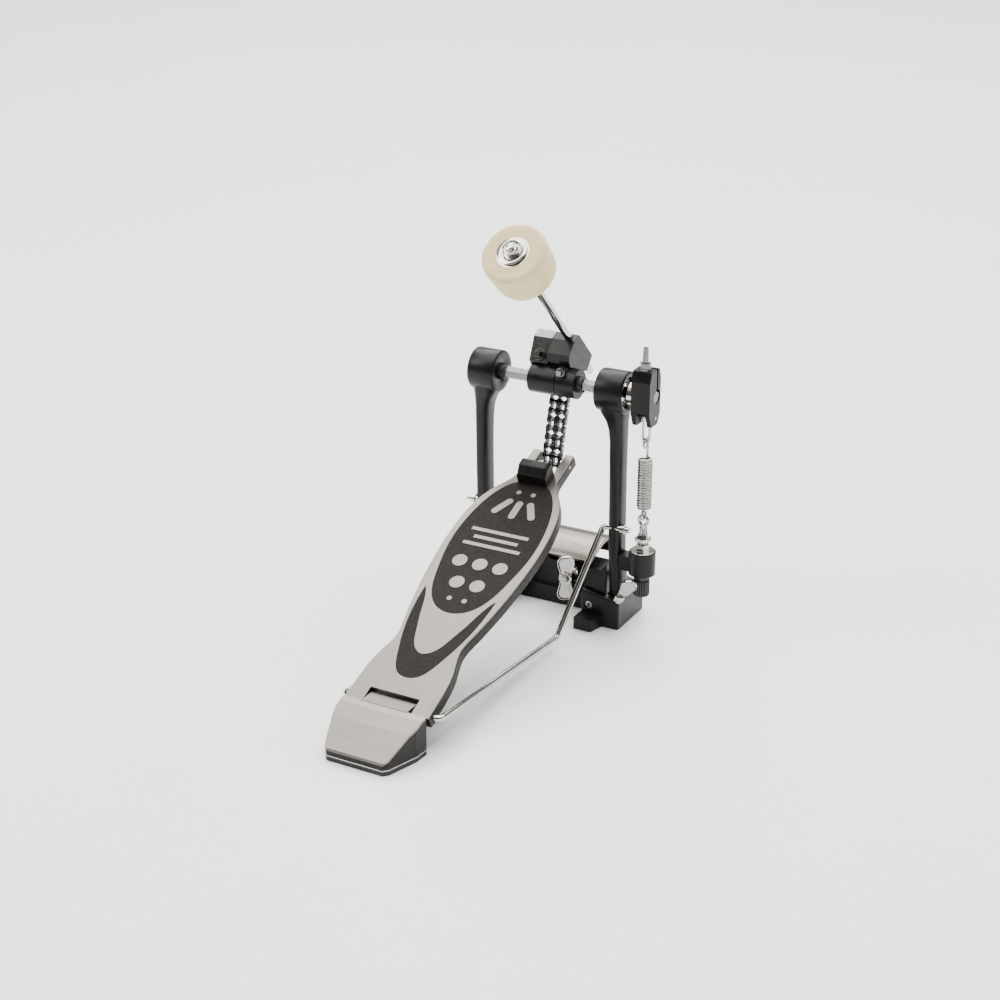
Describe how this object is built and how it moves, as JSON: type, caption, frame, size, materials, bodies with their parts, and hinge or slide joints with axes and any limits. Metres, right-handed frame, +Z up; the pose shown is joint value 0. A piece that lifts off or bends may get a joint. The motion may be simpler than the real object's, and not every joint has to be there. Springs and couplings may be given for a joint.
{
  "type": "bass drum pedal",
  "caption": "Foot pedal that swings a felt beater at a bass drum: hinged footboard, chain over a cam, sprung hexagonal axle on two posts, and a base with a hoop clamp.",
  "frame": {"origin": "on the floor under the middle of the base", "axes": "+X towards the spring side, +Y towards the drum, +Z up"},
  "size_m": [0.1594, 0.3252, 0.3036],
  "materials": {
    "black_casting": "semi-gloss black powder coat",
    "chrome": "polished chrome plate",
    "zinc_steel": "bright zinc-plated steel",
    "brushed_tread": "brushed aluminium",
    "dark_board": "satin black paint",
    "dark_inlay": "matte near-black inlay",
    "tread_print": "matte light printed stripes",
    "black_plastic": "matte moulded plastic",
    "black_rubber": "matte moulded rubber",
    "felt": "pressed wool felt",
    "spring_steel": "bright drawn spring wire"
  },
  "bodies": {
    "base": {"base_casting": "black_casting", "base_pads": "black_rubber", "right_post": "black_casting", "left_post": "black_casting", "post_bolts": "zinc_steel", "side_plates": "black_casting", "lug_screws": "zinc_steel", "radius_rod": "chrome", "rod_end_nuts": "zinc_steel", "outer_races": "zinc_steel", "retaining_rings": "zinc_steel", "spring_lug": "black_casting", "eyebolt": "zinc_steel", "eyebolt_nuts": "chrome", "jaw_pin": "zinc_steel", "lip_rubber": "black_rubber", "heel_plate": "dark_board", "heel_cover": "brushed_tread", "heel_strip": "dark_inlay", "heel_sole": "black_rubber"},
    "axle": {"axle_shaft": "chrome", "axle_spacers": "black_plastic", "axle_rings": "chrome", "inner_races": "zinc_steel", "beater_holder": "black_casting", "shaft_clamp_plate": "chrome", "clamp_key_screw": "chrome", "axle_key_screws": "chrome", "cam": "black_casting", "cam_pin": "zinc_steel", "rocker": "black_casting", "rocker_pin": "zinc_steel"},
    "ball_cage": {"bearing_balls": "chrome"},
    "beater": {"beater_shaft": "chrome", "felt_head": "felt", "felt_washers": "zinc_steel", "felt_nuts": "zinc_steel"},
    "footboard": {"footboard": "dark_board", "tread_plate": "brushed_tread", "tread_insert": "dark_inlay", "chevron_insert": "dark_inlay", "tread_marks": "tread_print", "toe_pin": "zinc_steel", "toe_stop": "black_plastic", "toe_stop_screws": "zinc_steel"},
    "chain": {"chain_outer_plates": "zinc_steel", "chain_inner_plates": "zinc_steel", "chain_rollers": "zinc_steel", "chain_pins": "zinc_steel"},
    "spring_lower": {"spring_lower_hook": "spring_steel", "spring_coil": "spring_steel"},
    "spring_upper": {"spring_upper_hook": "spring_steel"},
    "link": {"stirrup_link": "spring_steel"},
    "knob": {"tension_knob": "black_plastic"},
    "jaw": {"hoop_jaw": "zinc_steel", "jaw_rubber": "black_rubber"},
    "draw_bolt": {"draw_bolt": "zinc_steel"},
    "wing": {"wing_nut": "chrome"},
    "right_spur": {"right_spur_screw": "chrome"},
    "left_spur": {"left_spur_screw": "chrome"}
  },
  "joints": [
    {"name": "axle_spin", "type": "hinge", "parent": "base", "child": "axle", "pos_m": [0, -0.026, 0.1776], "axis": [-1, 0, 0], "range_deg": [0, 50], "stiffness_Nm_per_rad": 0.35, "springref_deg": -57.3},
    {"name": "cage_spin", "type": "hinge", "parent": "base", "child": "ball_cage", "pos_m": [0, -0.026, 0.1776], "axis": [-1, 0, 0], "range_deg": [-1, 21]},
    {"name": "beater_slide", "type": "slide", "parent": "axle", "child": "beater", "axis": [0, -0.7193, 0.6947], "range_m": [-0.03, 0.015]},
    {"name": "footboard_pivot", "type": "hinge", "parent": "base", "child": "footboard", "pos_m": [0, -0.24353, 0.02252], "axis": [-1, 0, 0], "range_deg": [-0.2, 5]},
    {"name": "chain_pivot", "type": "hinge", "parent": "footboard", "child": "chain", "pos_m": [0, -0.02747, 0.11497], "axis": [1, 0, 0], "range_deg": [-0.2, 8.5]},
    {"name": "spring_swing", "type": "hinge", "parent": "base", "child": "spring_lower", "pos_m": [0.074, -0.026, 0.0889], "axis": [1, 0, 0], "range_deg": [-0.2, 8.6]},
    {"name": "spring_stretch", "type": "slide", "parent": "spring_lower", "child": "spring_upper", "axis": [0, 0, 1], "range_m": [-0.0001, 0.0065], "deforming": ["spring_coil"]},
    {"name": "link_swing", "type": "hinge", "parent": "axle", "child": "link", "pos_m": [0.074, -0.026, 0.1626], "axis": [1, 0, 0], "range_deg": [-0.5, 59]},
    {"name": "knob_turn", "type": "hinge", "parent": "base", "child": "knob", "pos_m": [0.074, -0.026, 0.036], "axis": [0, 0, 1], "continuous": true},
    {"name": "wing_turn", "type": "hinge", "parent": "base", "child": "wing", "pos_m": [0.012, -0.022, 0.026], "axis": [0, -1, 0], "range_deg": [-680, 180]},
    {"name": "bolt_draw", "type": "slide", "parent": "base", "child": "draw_bolt", "axis": [0, -1, 0], "range_m": [-0.0024, 0.0007]},
    {"name": "jaw_tilt", "type": "hinge", "parent": "base", "child": "jaw", "pos_m": [0, -0.002, 0.0315], "axis": [-1, 0, 0], "range_deg": [-13.2, 3.8]},
    {"name": "right_spur_turn", "type": "hinge", "parent": "base", "child": "right_spur", "pos_m": [0.058, -0.0322, 0.022], "axis": [0.5446, -0.2592, 0.7976], "continuous": true},
    {"name": "left_spur_turn", "type": "hinge", "parent": "base", "child": "left_spur", "pos_m": [-0.058, -0.0322, 0.022], "axis": [-0.5446, -0.2592, 0.7976], "continuous": true}
  ],
  "couplings": [
    {"joint": "cage_spin", "follows": "axle_spin", "ratio": 0.397},
    {"joint": "footboard_pivot", "follows": "axle_spin", "ratio": 0.09444},
    {"joint": "chain_pivot", "follows": "axle_spin", "ratio": 0.16236},
    {"joint": "spring_swing", "follows": "axle_spin", "ratio": 0.1654},
    {"joint": "spring_stretch", "follows": "axle_spin", "m_per_rad": 0.00709},
    {"joint": "link_swing", "follows": "axle_spin", "ratio": 1.1654},
    {"joint": "bolt_draw", "follows": "wing_turn", "m_per_rad": 0.000199},
    {"joint": "jaw_tilt", "follows": "wing_turn", "ratio": 0.019}
  ]
}
